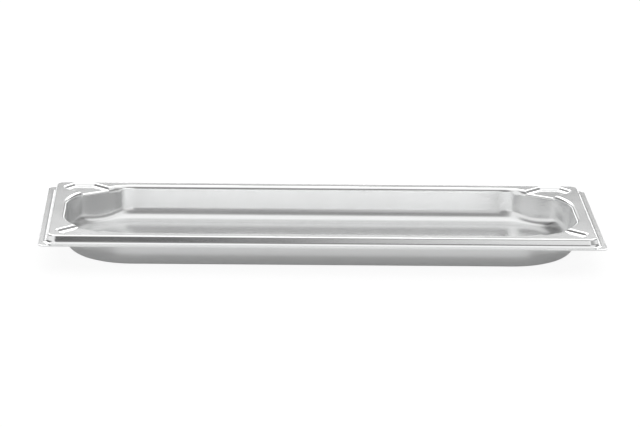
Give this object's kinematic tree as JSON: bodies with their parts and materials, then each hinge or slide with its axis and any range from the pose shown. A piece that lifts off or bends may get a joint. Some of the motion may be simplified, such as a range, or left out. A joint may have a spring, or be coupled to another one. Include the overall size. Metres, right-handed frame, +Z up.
{
  "type": "food pan",
  "caption": "Shallow rectangular food pan pressed from sheet steel, with a stepped rim, a turned-out lip and sunk stacking ledges at its corners.",
  "frame": {"origin": "centre of the base's underside, on the surface that the pan stands on", "axes": "+X along the pan's long side, +Y across it, +Z up towards the rim"},
  "size_m": [0.325, 0.132, 0.0207],
  "materials": {
    "stainless_steel": "bright satin stainless steel, as drawn and lightly polished"
  },
  "bodies": {
    "root": {"pan": "stainless_steel"}
  },
  "joints": []
}
